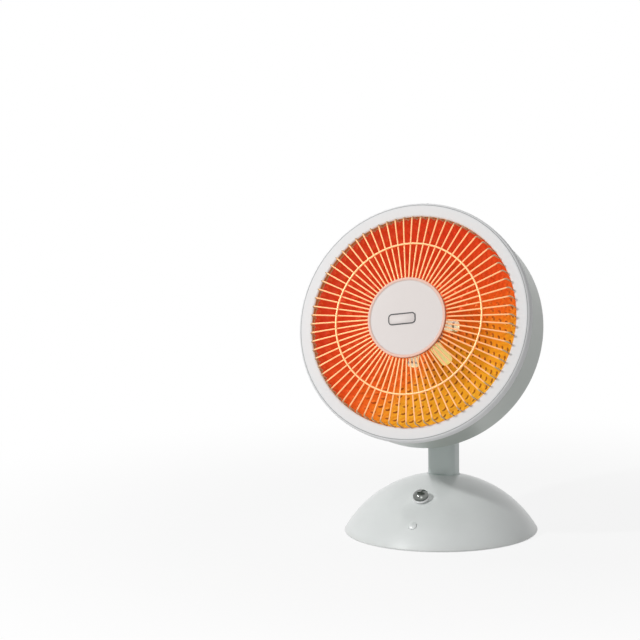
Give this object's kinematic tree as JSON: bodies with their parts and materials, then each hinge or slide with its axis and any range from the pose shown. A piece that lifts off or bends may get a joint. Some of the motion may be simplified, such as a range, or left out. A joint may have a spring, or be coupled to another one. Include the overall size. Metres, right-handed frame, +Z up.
{
  "type": "quartz heater",
  "caption": "Round dish quartz heater: caged reflector in a white drum that tilts and swings on a column over a domed base.",
  "frame": {"origin": "on the swivel axis, in the plane that the rubber foot ring stands on", "axes": "+Z up along the swivel axis, -Y towards the heater's front, +X to its right as the front is viewed from ahead"},
  "size_m": [0.3048, 0.2822, 0.4309],
  "materials": {
    "white_moulding": "satin moulded white",
    "white_gloss": "gloss white",
    "disc_enamel": "pale enamel",
    "chrome": "polished",
    "grille_wire": "bright plated wire",
    "dish": "polished, copper coloured, embossed",
    "quartz": "clear",
    "coil_wire": "resistance wire",
    "ceramic": "matte white",
    "steel": "zinc plated",
    "iron": "cast, painted",
    "black_plastic": "moulded black",
    "nylon": "natural nylon",
    "rubber": "soft black"
  },
  "bodies": {
    "base": {"base_shell": "white_moulding", "base_plate": "black_plastic", "foot_ring": "rubber", "base_screws": "steel", "ballast_ring": "iron", "swivel_bush": "nylon", "thrust_washer": "nylon", "swing_motor": "steel", "motor_bracket": "steel", "motor_screws": "steel", "heat_switch": "black_plastic", "switch_nut": "steel", "swing_switch": "black_plastic", "tip_switch": "black_plastic", "terminal_block": "black_plastic", "cord_inlet": "white_moulding", "cord_clamp": "black_plastic"},
    "heat_knob": {"knob_cap": "chrome", "knob_skirt": "white_gloss", "knob_shaft": "steel"},
    "push_button": {"swing_button": "white_moulding"},
    "tip_over_pin": {"tip_plunger": "nylon", "tip_spring": "steel"},
    "swing_pinion": {"motor_pinion": "nylon"},
    "neck": {"neck_front_shell": "white_moulding", "neck_rear_shell": "white_moulding", "neck_screws": "steel", "neck_tube": "steel", "sector_gear": "nylon", "tilt_fork": "steel", "hinge_pin": "steel", "hinge_nut": "steel", "friction_washers": "steel"},
    "head": {"drum_shell": "white_moulding", "bezel": "white_gloss", "bezel_lock_screw": "steel", "grille_spokes": "grille_wire", "grille_mid_ring": "grille_wire", "grille_rim_ring": "grille_wire", "centre_disc": "disc_enamel", "disc_backplate": "steel", "disc_rivets": "steel", "reflector": "dish", "quartz_tubes": "quartz", "heating_coils": "coil_wire", "ceramic_caps": "ceramic", "ceramic_hub": "ceramic", "ceramic_bushes": "ceramic", "terminal_bands": "steel", "element_spider": "steel", "element_post": "steel", "thermal_cutout": "black_plastic", "tilt_knuckle": "black_plastic", "knuckle_screws": "steel"}
  },
  "joints": [
    {"name": "neck_swivel", "type": "hinge", "parent": "base", "child": "neck", "pos_m": [0, 0, 0.06], "axis": [0, 0, 1], "range_deg": [-35, 35]},
    {"name": "head_tilt", "type": "hinge", "parent": "neck", "child": "head", "pos_m": [0, 0, 0.24795], "axis": [-1, 0, 0], "range_deg": [-19.7, 10.3]},
    {"name": "knob_turn", "type": "hinge", "parent": "base", "child": "heat_knob", "pos_m": [0, -0.0844, 0.05592], "axis": [0, 0.4953, -0.8687], "range_deg": [0, 135]},
    {"name": "button_press", "type": "slide", "parent": "base", "child": "push_button", "axis": [0, 0.7292, -0.6843], "range_m": [0, 0.0015], "stiffness_N_per_m": 900, "springref_m": -0.001},
    {"name": "plunger_drop", "type": "slide", "parent": "base", "child": "tip_over_pin", "axis": [0, 0, -1], "range_m": [0, 0.004], "stiffness_N_per_m": 150, "springref_m": 0.006, "deforming": ["tip_spring"]},
    {"name": "pinion_spin", "type": "hinge", "parent": "base", "child": "swing_pinion", "pos_m": [0, 0.045, 0.0435], "axis": [0, 0, 1], "range_deg": [-105, 105]}
  ],
  "couplings": [
    {"joint": "pinion_spin", "follows": "neck_swivel", "ratio": -3}
  ]
}
